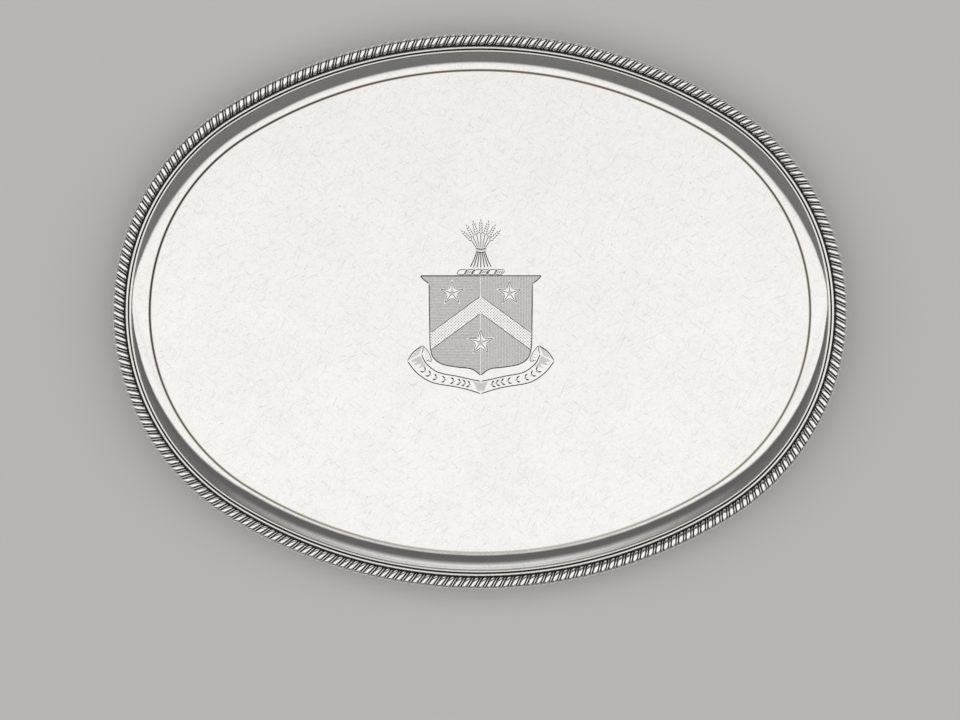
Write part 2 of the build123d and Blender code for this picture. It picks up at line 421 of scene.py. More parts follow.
# The casting is the back with grooves sunk along its normals. The lobes lean at a constant angle on the
# back, so they shift along the border by the distance from the crest times the angle's tangent.
def makeCasting(number):
    first, last = lobeStarts[number], lobeEnds[number]
    places, across, heights = lobeProfile()
    along = (np.arange(first, last)[:, None] + places).ravel()
    across = np.concatenate([[1.0], np.tile(across, int(last - first)), [1.0]])
    heights = np.concatenate([[heights[-1]], np.tile(heights, int(last - first)), [heights[0]]])
    along = np.concatenate([[first], along, [last]])

    inset, height, normalInset, normalHeight, distance = castingBack()
    shift = math.tan(math.radians(gadroon["lean"])) * distance / gadroon["pitch"]
    innerEnd = np.clip(1 - (distance[-1] - distance) / gadroon["innerTip"], 0, 1)
    outerEnd = np.clip(1 - (distance - distance[0]) / gadroon["outerTip"], 0, 1)
    n = gadroon["fullness"]
    filled = 1 - np.abs(across[:, None]) ** n - innerEnd ** n - outerEnd ** n
    relief = heights[:, None] * np.maximum(filled, 0) ** (1 / n)
    sunk = gadroon["lobeHeight"] - relief
    ring = aroundOval(along[:, None] + shift, inset - sunk * normalInset, height - sunk * normalHeight)

    # the rest of the loop: down the inner wall, under the casting to the step, and out along the lip
    lipHeight = flangeTop - section["sheet"] - section["gadroonLip"]
    under = np.array([
        (section["gadroonWidth"], flangeTop + 0.2, shift[-1]),
        (section["gadroonWidth"], flangeTop, shift[-1]),
        (section["gadroonOverhang"], flangeTop, shift[0]),
        (section["gadroonOverhang"], lipHeight, shift[0]),
    ])
    base = aroundOval(along[:, None] + under[:, 2], under[:, 0], under[:, 1])
    points = np.concatenate([ring, base], axis=1)
    # tarnish stays between the lobes and round their inner ends, and polishing clears the outer ones
    over = gadroon["tarnishOver"]
    beside = 1 - np.maximum(1 - np.abs(across[:, None]) ** n, 0) ** (1 / n)
    outermost = smoothStep((gadroon["clearedTo"] - inset) / gadroon["clearedOver"])
    cleared = 1 - gadroon["clearedShare"] * outermost
    between = smoothStep((beside - gadroon["tarnishFrom"]) / over) * cleared
    dark = np.maximum(between, smoothStep((innerEnd - gadroon["endTarnishFrom"]) / over))
    dark = np.concatenate([dark, np.tile([1.0, 1.0, 0.2, 0.2], (len(along), 1))], axis=1)

    allPoints, faces = closedLoft(points)
    allDark = np.concatenate([dark.ravel(), [0.2, 0.2]])
    piece = meshPiece(f"gadroon_casting_{number + 1}", allPoints, faces, castSilver, allDark, sharp=55)
    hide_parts(f"gadroon_section_{number + 1}")


for number in range(len(castings)):
    makeCasting(number)
print("border castings made")


# The reeded wire.

reededWire = {
    "base": 0.3,
    "outerReed": 0.88,  # radius
    "innerReed": 0.7,
    "gap": 0.2,
    "outerTarnish": (0.8, 1.0),  # how high tarnish reaches on each side, as a share of the radius
    "innerTarnish": (1.0, 0.45),
    "tarnishOver": 0.45,
    "leastTarnish": 0.08,
    "reedSteps": 16,
    "stations": 744,  # three to a lobe
}


# A flat-backed strip with two half-round reeds, carried round the oval.
def makeWire():
    floor = flangeTop + reededWire["base"]
    edge = section["gadroonWidth"]
    profile = [(edge, flangeTop, 0.3), (edge, floor, 1.0)]
    edge += reededWire["gap"]
    # tarnish stays low on a reed's sides, and highest in the groove between the two
    for reed, tarnish in (("outerReed", "outerTarnish"), ("innerReed", "innerTarnish")):
        radius, (outside, inside) = reededWire[reed], reededWire[tarnish]
        angle = np.linspace(0, math.pi, reededWire["reedSteps"] + 1)
        rise = np.sin(angle)
        reach = np.where(angle < quarterTurn, outside, inside)
        low = smoothStep((reach - rise) / reededWire["tarnishOver"])
        low = np.maximum(low, reededWire["leastTarnish"])
        profile += zip(edge + radius * (1 - np.cos(angle)), floor + radius * rise, low)
        edge += 2 * radius + reededWire["gap"]
    profile += [(edge, floor, 0.4), (edge, flangeTop, 0.4)]
    profile = np.array(profile)
    along = np.linspace(0, lobeTotal, reededWire["stations"], endpoint=False)
    points = aroundOval(along[:, None], profile[:, 0], profile[:, 1])
    rows, columns = points.shape[:2]
    dark = np.tile(profile[:, 2], rows)
    faces = [gridFaces(rows, columns, wrapRows=True, wrapColumns=True)]
    piece = meshPiece("reeded_wire_strip", points.reshape(-1, 3), faces, wireSilver, dark, sharp=40)
    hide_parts("reeded_wire")


makeWire()
print("reeded wire made")


# The engraving on the plate.

engraving = {
    "centre": (0.8, 0.0),
    "outline": 0.58,  # width of the main cuts
    "fine": 0.4,
    "hatch": 0.2,
    "hatchSpacing": 0.43,
    "depthShare": 0.36,  # depth as a share of the width, for a V of about 35 degrees a side
    "dotSize": 0.62,
    "dotSpacing": 1.6,
    "tipShare": 0.02,  # a cut's width at its tips, as a share of its full width
    "unevenness": 0.03,  # how far a hatching line strays from its place
}
cuts = []  # each is (points, half-widths)


# A smooth curve through a few points: each span is a cubic whose end slopes are half the chord between
# the neighbours on either side.
def curveThrough(points, steps=8):
    points = np.asarray(points, float)
    padded = np.vstack([2 * points[0] - points[1], points, 2 * points[-1] - points[-2]])
    slopes = (padded[2:] - padded[:-2]) / 2
    t = np.linspace(0, 1, steps, endpoint=False)[None, :, None]
    a, b, m, n = points[:-1, None], points[1:, None], slopes[:-1, None], slopes[1:, None]
    spans = ((2 * t**3 - 3 * t**2 + 1) * a + (t**3 - 2 * t**2 + t) * m
             + (3 * t**2 - 2 * t**3) * b + (t**3 - t**2) * n)
    return np.vstack([spans.reshape(-1, 2), points[-1:]])


def mirrored(points):
    return np.asarray(points, float) * (-1, 1)


# Adds one cut, which narrows to a point over the taper's length at each end. Its width is a number, or
# the name of one in the dictionary.
def cut(points, width, taper=1.0):
    width = engraving.get(width, width)
    points = np.asarray(points, float)
    steps = np.hypot(*np.diff(points, axis=0).T)
    length = steps.sum()
    share = np.concatenate([[0], np.cumsum(steps)]) / length
    taper = min(taper / length, 0.45)
    wanted = np.unique(np.concatenate([share, [taper * 0.4, taper, 1 - taper, 1 - taper * 0.4]]).round(5))
    line = np.stack([np.interp(wanted, share, points[:, 0]), np.interp(wanted, share, points[:, 1])], -1)
    tip = engraving["tipShare"]
    half = width / 2 * (tip + (1 - tip) * smoothStep(np.minimum(wanted, 1 - wanted) / taper))
    cuts.append((line, half))


# A closed outline is cut as an engraver does it, one stroke from corner to corner.
def cutOutline(outline, width, corner=30.0, taper=0.5):
    before = outline - np.roll(outline, 1, 0)
    after = np.roll(outline, -1, 0) - outline
    crossed = before[:, 0] * after[:, 1] - before[:, 1] * after[:, 0]
    turn = np.abs(np.arctan2(crossed, np.sum(before * after, 1)))
    corners = np.flatnonzero(turn > math.radians(corner))
    for start, end in zip(corners, np.append(corners[1:], corners[0] + len(outline))):
        cut(outline[np.arange(start, end + 1) % len(outline)], width, taper)


# Where a horizontal or vertical line enters and leaves a closed outline.
def crossings(outline, level, axis):
    across, along = outline[:, 1 - axis], outline[:, axis]
    nextAcross, nextAlong = np.roll(across, -1), np.roll(along, -1)
    hit = (across > level) != (nextAcross > level)
    share = (level - across[hit]) / (nextAcross[hit] - across[hit])
    return np.sort(along[hit] + share * (nextAlong[hit] - along[hit])).reshape(-1, 2)


# Hatching: parallel lines kept inside one outline and out of the others, with a small gap at each.
# Axis 0 runs the lines along X.
def hatch(outline, keepOut=(), axis=0, gap=0.1):
    spacing = engraving["hatchSpacing"]
    low, high = outline[:, 1 - axis].min(), outline[:, 1 - axis].max()
    levels = np.arange(low + spacing * 0.5, high - 0.1, spacing)
    for level in levels + engraving["unevenness"] * np.sin(levels * 7.3):
        spans = [tuple(pair) for pair in crossings(outline, level, axis)]
        for other in keepOut:
            for start, end in crossings(other, level, axis):
                pieces = [piece for a, b in spans for piece in ((a, min(b, start)), (max(a, end), b))]
                spans = [(a, b) for a, b in pieces if b > a]
        for a, b in spans:
            if b - a > 2 * gap + 0.4:
                ends = np.array([(a + gap, level), (b - gap, level)])
                cut(ends if axis == 0 else ends[:, ::-1], "hatch", taper=0.3)


def insideOutline(points, outline):
    x, y = points[:, :1], points[:, 1:]
    ax, ay = outline[:, 0], outline[:, 1]
    bx, by = np.roll(ax, -1), np.roll(ay, -1)
    with np.errstate(divide="ignore", invalid="ignore"):
        left = x < (bx - ax) * (y - ay) / (by - ay) + ax
    return np.sum(((ay > y) != (by > y)) & left, axis=1) % 2 == 1


# Stippling: short pricks on a staggered grid, inside an outline and clear of its edge.
def stipple(outline, spacing, size):
    low, high = outline.min(0), outline.max(0)
    columns, rows = np.arange(low[0], high[0], spacing), np.arange(low[1], high[1], spacing / 2)
    x, y = np.meshgrid(columns, rows)
    x[1::2] += spacing / 2
    dots = np.stack([x.ravel(), y.ravel()], -1)
    clear = np.ones(len(dots), bool)
    for step in ((0.5, 0), (-0.5, 0), (0, 0.5), (0, -0.5)):
        clear &= insideOutline(dots + step, outline)
    for dot in dots[clear]:
        cut([dot - (size / 2, 0), dot + (size / 2, 0)], size * 0.9)


def star(centre, radius, points=5):
    angle = math.pi / 2 + np.arange(2 * points) * math.pi / points
    reach = np.where(np.arange(2 * points) % 2 == 0, radius, radius * 0.42)
    return np.asarray(centre) + np.stack([reach * np.cos(angle), reach * np.sin(angle)], -1)


def grown(outline, amount):  # pushed out from its middle, for a margin round a charge
    middle = outline.mean(0)
    away = outline - middle
    return middle + away * (1 + amount / np.hypot(*away.T).mean())


# The right half of a shield with a straight top, a pointed ear, an upright side and a base that runs to a
# small point.
def halfShield():
    ear = curveThrough([(33.6, 19.8), (31.6, 17.6), (28.7, 15.4)], 5)
    side = np.array([(28.6, 4.0), (28.4, -8.0), (28.2, -18.0)])
    base = curveThrough([
        (28.0, -20.5), (26.4, -25.6), (21.5, -29.2), (13.0, -30.9), (5.2, -31.9), (0.0, -35.4),
    ], 7)
    return np.vstack([ear, side, base])


# The field is hatched across on one side and upwards on the other, and carries three stars and a pricked
# chevron.
def drawShield():
    right = halfShield()
    cutOutline(np.vstack([right, mirrored(right[:-1])[::-1]]), "outline", corner=38)
    rise, drop, reach = 8.6, 9.6, 28.3
    slope = 20.5 / reach
    upper = np.array([(-reach, rise - slope * reach), (0, rise), (reach, rise - slope * reach)])
    lower = upper - (0, drop)
    for edge in (upper, lower):
        for side in (edge[:2], edge[1:]):
            cut(side * (0.99, 1), "fine")
    chevron = np.vstack([upper, lower[::-1]])
    stars = [star((-16.0, 10.2), 6.6), star((16.0, 10.2), 6.6), star((0, -17.2), 7.0)]
    for charge in stars:
        cutOutline(charge, "fine")
        middle = charge.mean(0)
        for tip, notch in zip(charge[::2], charge[1::2]):
            cut([middle, middle + 0.8 * (tip - middle)], "fine")
            cut([middle, middle + 0.8 * (notch - middle)], "hatch")
    keepOut = [chevron, *(grown(charge, 0.5) for charge in stars)]
    top = [(0, right[0, 1])]
    hatch(np.vstack([right, top]), keepOut, axis=1)
    hatch(np.vstack([mirrored(right), top]), keepOut, axis=0)
    stipple(chevron, engraving["dotSpacing"], engraving["dotSize"])


# A twisted cord of six slanted turns, every second one shaded, on which the crest stands.
def drawTorse():
    left, right, bottom, top, turns = -12.4, 12.4, 20.5, 23.1, 6
    step, lean = (right - left) / turns, 1.5
    for turn in range(turns):
        start = left + turn * step - lean / 2
        lobe = curveThrough([
            (start + 0.2, bottom + 0.1), (start + step - 0.4, bottom), (start + step + lean, top - 0.5),
            (start + step + lean - 0.5, top), (start + lean + 0.1, top), (start, bottom + 0.6),
            (start + 0.2, bottom + 0.1),
        ], 4)[:-1]
        cutOutline(lobe, "fine", corner=50)
        for share in (0.3, 0.55, 0.8) if turn % 2 else ():
            x = start + share * step
            cut([(x, bottom + 0.3), (x + lean, top - 0.3)], "fine")


# A sheaf of wheat: stalks that spread above and below a band, each with an ear of paired grains.
def drawSheaf():
    tie, low, spread = 34.0, 23.8, 42
    for turn in np.linspace(-spread, spread, 7):
        lean, outward = math.radians(turn), abs(turn) / spread
        reach = 11.0 - 2.0 * outward ** 2
        head = np.array([math.sin(lean) * reach * 0.95, tie + math.cos(lean) * reach * 0.9])
        heel = np.array([math.sin(lean) * 9.0, low + 0.5 * outward])
        waist = turn / spread * 2.3
        above = ((waist + head[0]) * 0.45, (tie + head[1]) / 2)
        below = ((waist + heel[0]) * 0.45, (tie + low) / 2)
        cut(curveThrough([(waist, tie + 0.9), above, head], 5), "fine")
        cut(curveThrough([heel, below, (waist, tie - 0.9)], 5), "outline")
        axis = np.array([math.sin(lean * 1.1), math.cos(lean * 1.1)])
        side = np.array([axis[1], -axis[0]])
        for grain in range(5):
            seat = head + axis * (grain * 1.3 - 0.8)
            for hand in (-1, 1):
                tip = seat + axis * 1.5 + side * hand * (1.15 - 0.12 * grain)
                cut([seat + side * hand * 0.15, (seat + tip) / 2 + side * hand * 0.3, tip], 0.55)
        cut([head + axis * 5.4, head + axis * 7.8], "fine")
    for edge in (tie - 0.9, tie + 0.9):
        cut(curveThrough([(-3.2, edge + 0.15), (0, edge - 0.35), (3.2, edge + 0.15)], 5), 0.6)
    for x in np.linspace(-2.3, 2.3, 5):
        cut([(x, tie - 0.7), (x + 0.3, tie + 0.5)], "fine")


# The point at a share of the way along a line of points.
def pointOn(line, share):
    count = np.arange(len(line)) / (len(line) - 1)
    return np.array([np.interp(share, count, line[:, axis]) for axis in (0, 1)])


# A ribbon in two swags under the shield, folded at the middle and rolled over at the ends, with a run of
# plain leaves on it.
def drawRibbon():
    upper = curveThrough([
        (0, -38.8), (6.0, -37.6), (13.0, -36.0), (23.6, -33.8), (30.2, -29.0), (33.0, -23.6),
    ], 7)
    lower = curveThrough([
        (0, -45.7), (6.5, -43.6), (14.0, -41.8), (27.0, -39.4), (35.4, -34.2), (40.8, -27.6),
    ], 7)
    roll = curveThrough([(40.8, -27.6), (37.4, -22.6), (32.2, -18.8)], 6)
    inner = curveThrough([(32.2, -18.8), (32.0, -21.0), (33.0, -23.6)], 5)
    tail = curveThrough([(32.2, -18.8), (29.2, -22.4), (27.4, -27.4), (30.6, -27.0)], 5)
    middle = (upper + lower) / 2
    # shading across the band at its fold and its rolled end: each line's place, and how far down it goes
    foldReach = (0.9, 1, 1, 1, 0.95, 0.8, 0.6, 0.45, 0.3)
    endReach = (0.25, 0.45, 0.6, 0.8, 0.5, 0.4, 0.6, 0.85, 0.95, 0.7, 0.8, 0.95, 0.95)
    shading = [*zip(np.linspace(0.0, 0.13, 9), foldReach), *zip(np.linspace(0.78, 0.975, 13), endReach)]
    for hand in (1, -1):
        strokes = [(line, "outline") for line in (upper, lower, roll)]
        strokes += [(line, "fine") for line in (inner, tail)]
        for share, reach in shading:
            a, b = pointOn(upper, share), pointOn(lower, share)
            strokes.append(([a + 0.06 * (b - a), a + 0.9 * reach * (b - a)], "hatch"))
        for share in np.linspace(0.12, 0.9, 8):  # the back of the roll
            a, b = pointOn(roll, share), pointOn(inner, 1 - share)
            strokes.append(([a + 0.1 * (b - a), a + 0.8 * (b - a)], "hatch"))
        for share in np.linspace(0.2, 0.9, 6):  # the tail behind
            a = pointOn(tail, share * 0.62)
            strokes.append(([a + (0.5, -0.1), a + (1.6 + share, -0.5 - share)], "hatch"))
        for share in np.linspace(0.19, 0.74, 8):  # pairs of leaves on a stem
            seat = pointOn(middle, share)
            axis = pointOn(middle, share + 0.01) - seat
            axis = axis / np.hypot(*axis)
            side = np.array([-axis[1], axis[0]])
            for up in (-1, 1):
                tip = seat + axis * 2.3 + side * up * 1.8
                bulge = (seat + tip) / 2 + side * up * 0.45
                strokes.append(([seat + side * up * 0.3, bulge, tip], 0.8))
            strokes.append(([seat - axis * 0.9, seat + axis * 1.4], "fine"))
        for line, width in strokes:
            cut(np.asarray(line) * (hand, 1), width)


drawShield()
drawTorse()
drawSheaf()
drawRibbon()
print("engraving drawn:", len(cuts), "cuts")


# Every cut becomes three lines of points: its two edges, at the surface, and its bottom. Returns the
# points, the edges that the triangulation keeps, and the cuts' bottom segments with their half-widths.
def cutLines():
    points, edges, segments = [], [], []
    count = 0
    for line, half in cuts:
        tangent = np.gradient(line, axis=0)
        tangent = tangent / np.hypot(*tangent.T)[:, None]
        normal = np.stack([-tangent[:, 1], tangent[:, 0]], -1)
        n = len(line)
        points.append(np.vstack([line + normal * half[:, None], line - normal * half[:, None], line]))
        chain = np.stack([np.arange(n - 1), np.arange(1, n)], -1)
        tips = np.array([(0, 2 * n), (n, 2 * n), (n - 1, 3 * n - 1), (2 * n - 1, 3 * n - 1)])
        edges += [chain + count, chain + count + n, chain + count + 2 * n, tips + count]
        segments.append(np.column_stack([line[:-1], line[1:], half[:-1], half[1:]]))
        count += 3 * n
    return np.vstack(points), np.vstack(edges), np.vstack(segments)


# Depth at a point: the deepest of every cut's V there, which is (half-width - distance) times the slope.
# A cut has no depth past its ends. The points go through in compact blocks, each with only the segments
# whose boxes meet it.
def engravedDepth(points, segments):
    depth, share = np.zeros(len(points)), np.zeros(len(points))
    reach = np.maximum(segments[:, 4:5], segments[:, 5:6])
    lowest = np.minimum(segments[:, :2], segments[:, 2:4]) - reach
    highest = np.maximum(segments[:, :2], segments[:, 2:4]) + reach
    order = np.lexsort((points[:, 0], np.floor(points[:, 1] / 1.5)))
    for chosen in np.array_split(order, len(order) // 150 + 1):
        block = points[chosen]
        near = np.all((lowest <= block.max(0)) & (highest >= block.min(0)), axis=1)
        if near.any():
            a, b, (halfA, halfB) = segments[near, :2], segments[near, 2:4], segments[near, 4:].T
            along = b - a
            squared = np.maximum(np.einsum("ij,ij->i", along, along), 1e-12)
            away = block[:, None, :] - a
            t = np.einsum("ijk,jk->ij", away, along) / squared
            beside = (t > -1e-6) & (t < 1 + 1e-6)
            t = np.clip(t, 0, 1)
            gap = np.hypot(*np.moveaxis(away - t[..., None] * along, -1, 0))
            half = halfA + t * (halfB - halfA)
            inward = np.where(beside, half - gap, -1.0)
            depth[chosen] = np.max(inward, axis=1)
            share[chosen] = np.max(inward / half, axis=1)
    return np.maximum(depth, 0) * 2 * engraving["depthShare"], np.clip(share, 0, 1)


# The plate.

plate = {
    "creaseRound": 4.0,  # radius where the well turns up into the side
    "creaseWidth": 1.9,  # the tarnished valley along the crease, which is also darkened with painted shade
    "creaseDepth": 0.07,
    "creaseShift": 0.3,  # from where the flat ends out to the valley's middle
    "creaseTarnishAndShade": (0.71, -0.08, 0.22, 0.14),  # mean, and its waves of cos, sin and cos twice: tarnish in the crease, with painted shade in the waves
    "cutEdgePatina": 0.42,
    "cutDepthPatina": 0.55,  # what a cut's bottom has more than its edge
    "creaseSteps": 8,
    "cavettoSteps": 24,
    "stations": 744,
    "fillSpacing": 11.0,  # of the plain points that keep the well's triangles well shaped
}


# The side is an arc of the hollow's radius, joined to the flat by a smaller arc that touches both. The
# touching circle's centre is its own radius above the flat, and (hollow radius - its radius) from the
# hollow's centre. The crease is a cosine valley centred where the flat ends. Each row of the profile is
# inset, height, tarnish, the crease's own tarnish with painted shade, and how buffed the metal is.
def plateProfile():
    small, big = plate["creaseRound"], section["cavettoRadius"]
    across = math.sqrt((big - small) ** 2 - (hollowHeight - wellTop - small) ** 2)
    flatInset = hollowInset - across
    touch = math.asin(across / (big - small))
    slope = np.concatenate([
        np.linspace(0, touch, 9)[1:-1],
        np.linspace(touch, endSlope, plate["cavettoSteps"]),
    ])
    early = slope < touch
    inset = np.where(early, flatInset - small * np.sin(slope), hollowInset - big * np.sin(slope))
    height = np.where(early, wellTop + small * (1 - np.cos(slope)), hollowHeight - big * np.cos(slope))
    steps, reach = plate["creaseSteps"], plate["creaseWidth"] / 2
    inset = np.concatenate([flatInset + reach * np.linspace(1, 0, steps), inset])
    height = np.concatenate([np.full(steps, wellTop), height])
    fromCrease = np.clip((flatInset - plate["creaseShift"] - inset) / reach, -1, 1)
    valley = (1 + np.cos(math.pi * fromCrease)) / 2
    height = height - plate["creaseDepth"] * valley
    top = np.column_stack([inset, height, 0 * inset, valley ** 0.7, smoothStep(fromCrease)])
    top[-1, 2] = 0.4
    edge, thick = section["gadroonOverhang"], section["sheet"]
    outer = big + thick
    underStart = math.acos((hollowHeight - (flangeTop - thick)) / outer)
    underEnd = math.acos((hollowHeight - wellUnder) / outer)
    slope = np.linspace(underStart, underEnd, plate["cavettoSteps"])
    insets = np.concatenate([[edge, edge], hollowInset - outer * np.sin(slope)])
    heights = np.concatenate([[flangeTop, flangeTop - thick], hollowHeight - outer * np.cos(slope)])
    insets = np.append(insets, insets[-1] + 1.5)
    heights = np.append(heights, wellUnder)
    none = 0 * insets
    return np.vstack([top, np.column_stack([insets, heights, none, none, none + 0.5])])


# The well is a triangulation of the cuts' lines and the crease, whose points drop by the depth there. The
# rim is the profile carried round the oval, and the underside is closed by a fan.
def makePlate():
    profile = plateProfile()
    along = np.linspace(0, lobeTotal, plate["stations"], endpoint=False)
    points = aroundOval(along[:, None], profile[:, 0], profile[:, 1])
    rows, columns = points.shape[:2]
    # the crease's tarnish, with painted shade that makes it darkest at the back and the left and lightest
    # at the front
    turn = 2 * math.pi * along / lobeTotal
    mean, cosine, sine, twice = plate["creaseTarnishAndShade"]
    # worn is the crease's darkening: tarnish in the crease with painted shade that changes round the oval
    worn = mean + cosine * np.cos(turn) + sine * np.sin(turn) + twice * np.cos(2 * turn)
    dark = np.clip(profile[:, 2] + profile[:, 3] * worn[:, None], 0, 1)
    buffed = np.tile(profile[:, 4], rows)
    rimFaces = gridFaces(rows, columns, wrapRows=True)
    rimCount = rows * columns

    ring = points[:, 0, :2]
    cutPoints, cutEdges, segments = cutLines()
    cutPoints = cutPoints + engraving["centre"]
    segments = segments + (*engraving["centre"], *engraving["centre"], 0, 0)
    gridX, gridY = np.meshgrid(
        np.arange(-oval["halfLength"], oval["halfLength"], plate["fillSpacing"]),
        np.arange(-oval["halfWidth"], oval["halfWidth"], plate["fillSpacing"]),
    )
    fill = np.stack([gridX.ravel(), gridY.ravel()], -1)
    low, high = cutPoints.min(0) - 2, cutPoints.max(0) + 2
    outside = np.any((fill < low) | (fill > high), axis=1)
    fill = fill[outside & insideOutline(fill, aroundOval(along, profile[0, 0] + 4, 0)[:, :2])]
    flat = np.vstack([ring, fill, cutPoints])
    ringEdges = np.stack([np.arange(rows), (np.arange(rows) + 1) % rows], -1)
    edges = np.vstack([ringEdges, cutEdges + rows + len(fill)])
    made = geometry.delaunay_2d_cdt(
        [Vector(p) for p in flat], [tuple(e) for e in edges.tolist()], [], 0, 1e-5)
    flatPoints = np.array([tuple(p) for p in made[0]])
    flatFaces = np.array(made[2])
    depth, share = engravedDepth(flatPoints, segments)
    # a face whose middle isn't in a cut is bare metal, and stays flat up to the cuts' very edges
    uncut = engravedDepth(flatPoints[flatFaces].mean(axis=1), segments)[1] < 0.01
    depth[flatFaces[uncut]] = 0
    share[flatFaces[uncut]] = 0
    isRing = np.array([any(i < rows for i in origin) for origin in made[3]])
    ringIndex = np.array([next((i for i in origin if i < rows), 0) for origin in made[3]])
    newIndex = np.where(isRing, ringIndex * columns, rimCount + np.cumsum(~isRing) - 1)
    flatFaces = newIndex[flatFaces]
    extra = np.column_stack([flatPoints, wellTop - depth])[~isRing]
    extraDark = plate["cutEdgePatina"] + plate["cutDepthPatina"] * share[~isRing] ** 0.6

    allPoints = np.concatenate([points.reshape(-1, 3), extra, [[0, 0, wellUnder]]])
    allDark = np.concatenate([dark.ravel(), extraDark, [0]])
    buffed = np.concatenate([buffed, np.zeros(len(extra) + 1)])
    underRing = np.arange(rows) * columns + columns - 1
    faces = [rimFaces, fanFaces(underRing, len(allPoints) - 1), flatFaces]
    clean = np.concatenate([np.zeros(len(rimFaces) + rows, bool), uncut])
    piece = meshPiece("salver_plate", allPoints, faces, sheetSilver, allDark, sharp=30, flatSets=(2,),
                      clean=clean, buffed=buffed)
    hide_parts("plate")


makePlate()
print("plate made")


# The feet.

foot = {
    "angle": 44.0,  # degrees from the X axis, about the end arc's centre
    "setback": 6.5,  # from the crease in to the palm's middle
    "height": wellUnder,
    "shoulders": 46.0,
    "wall": 2.6,
    "splay": 5.5,
    "palm": 1.2,
    "palmDepth": 9.0,
    "palmMargin": 1.5,
    "toeWidth": 15.0,
    "toeDepth": 8.5,
    "toeHeight": 2.4,
    "toeMargin": 2.0,
    "upperFillet": (1.5, 0.55),  # how much thicker the wall is at each joint, and over what height
    "lowerFillet": (1.1, 0.6),
    "palmRound": 0.35,  # radii of the palm's lower edge and of the pad's upper and lower ones
    "padRound": 0.8,
    "padUnderRound": 0.3,
    "steps": 64,  # points round each level
}


# A foot is a stack of rounded rectangles, bent round the well's edge. A level is (height, half-width,
# half-depth, distance outwards, squareness, patina), and its outline is the curve
# |x / half-width|^n + |y / half-depth|^n = 1.
def footLevels():
    high, toeTop = foot["height"], foot["toeHeight"]
    shoulder = high - foot["palm"]
    halfFoot, halfToe = foot["shoulders"] / 2, foot["toeWidth"] / 2
    halfPalm, palmDepth = halfFoot + foot["palmMargin"], foot["palmDepth"] / 2
    levels = [(high, halfPalm, palmDepth, 0, 7, 0.3)]
    for a in np.linspace(0, quarterTurn, 4):  # the palm's rounded lower edge
        inwards, up = foot["palmRound"] * (1 - math.cos(a)), foot["palmRound"] * (1 - math.sin(a))
        levels.append((shoulder + up, halfPalm - inwards, palmDepth - inwards, 0, 7, 0.1))
    t = np.linspace(0, 1, 26)
    top, bottom = shoulder, toeTop
    middle = (high + toeTop / 2) / 2
    height = top * (1 - t) ** 3 + bottom * t ** 3 + 3 * middle * t * (1 - t)
    outward = foot["splay"] * (3 * t ** 2 - 2 * t ** 3)
    rise = np.clip((height - toeTop) / (shoulder - toeTop), 0, 1)
    halfWidth = halfFoot - (halfFoot - halfToe) * np.sqrt(1 - rise ** 2)
    (upper, upperOver), (lower, lowerOver) = foot["upperFillet"], foot["lowerFillet"]
    upperFillet = upper * np.exp(-(shoulder - height) / upperOver)
    lowerFillet = lower * np.exp(-(height - toeTop) / lowerOver)
    halfDepth = foot["wall"] / 2 + upperFillet + lowerFillet
    corner = np.clip(np.exp(-(shoulder - height) / 0.5) + np.exp(-(height - toeTop) / 0.5), 0, 1)
    square = np.full(len(t), 6.0)
    levels += zip(height, halfWidth + 0.3 * lowerFillet, halfDepth, outward, square, 0.75 * corner)
    halfPad, padDepth = halfToe + foot["toeMargin"], foot["toeDepth"] / 2
    for a in np.linspace(0, quarterTurn, 6):  # the pad's rounded upper edge
        inwards, down = foot["padRound"] * (1 - math.sin(a)), foot["padRound"] * (1 - math.cos(a))
        tarnish = 0.25 * math.cos(a)
        levels.append((toeTop - down, halfPad - inwards, padDepth - inwards, foot["splay"], 3.2, tarnish))
    for a in np.linspace(0, quarterTurn, 4):  # and its lower one
        inwards, up = foot["padUnderRound"] * (1 - math.cos(a)), foot["padUnderRound"] * (1 - math.sin(a))
        levels.append((up, halfPad - inwards, padDepth - inwards, foot["splay"], 3.2, 0.1))
    return np.array(levels)


def makeFoot(name, node, turn):
    levels = footLevels()
    angle = np.linspace(0, 2 * math.pi, foot["steps"], endpoint=False)
    power = 2 / levels[:, 4:5]
    across = levels[:, 1:2] * np.sign(np.cos(angle)) * np.abs(np.cos(angle)) ** power
    out = levels[:, 2:3] * np.sign(np.sin(angle)) * np.abs(np.sin(angle)) ** power + levels[:, 3:4]
    bow = endRadius - creaseInset - foot["setback"]
    bend = math.radians(turn) + across / bow
    centre = math.copysign(endCentre, math.cos(math.radians(turn)))
    x = centre + (bow + out) * np.cos(bend)
    y = (bow + out) * np.sin(bend)
    z = np.broadcast_to(levels[:, :1], x.shape)
    allPoints, faces = closedLoft(np.stack([x, y, z], -1))
    dark = np.concatenate([np.repeat(levels[:, 5], foot["steps"]), [0, 0]])
    piece = meshPiece(name, allPoints, faces, castSilver, dark, sharp=40)
    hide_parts(node)


for node, turn in (
    ("foot_rear_right", foot["angle"]),
    ("foot_rear_left", 180 - foot["angle"]),
    ("foot_front_left", 180 + foot["angle"]),
    ("foot_front_right", -foot["angle"]),
):
    makeFoot(node.replace("foot", "bracket_foot"), node, turn)
print("feet made")


# Floor, light and camera.

studio = {
    "floor": "DAD9D6",  # pale matt paper
    "floorSize": 16000.0,
    "floorDrop": 0.05,  # below the feet, so that no two faces lie in one plane
    "cameraHeight": 1252.6,
    "cameraTurn": 0.7,  # degrees towards +X
    "aim": (0.42, -26.95),  # where the middle of the view falls on the salver
    "lens": 85.0,
    "background": "C9C8C5",
    "diffuserBow": 0.07,  # the diffusers hang a little further back at their ends
}


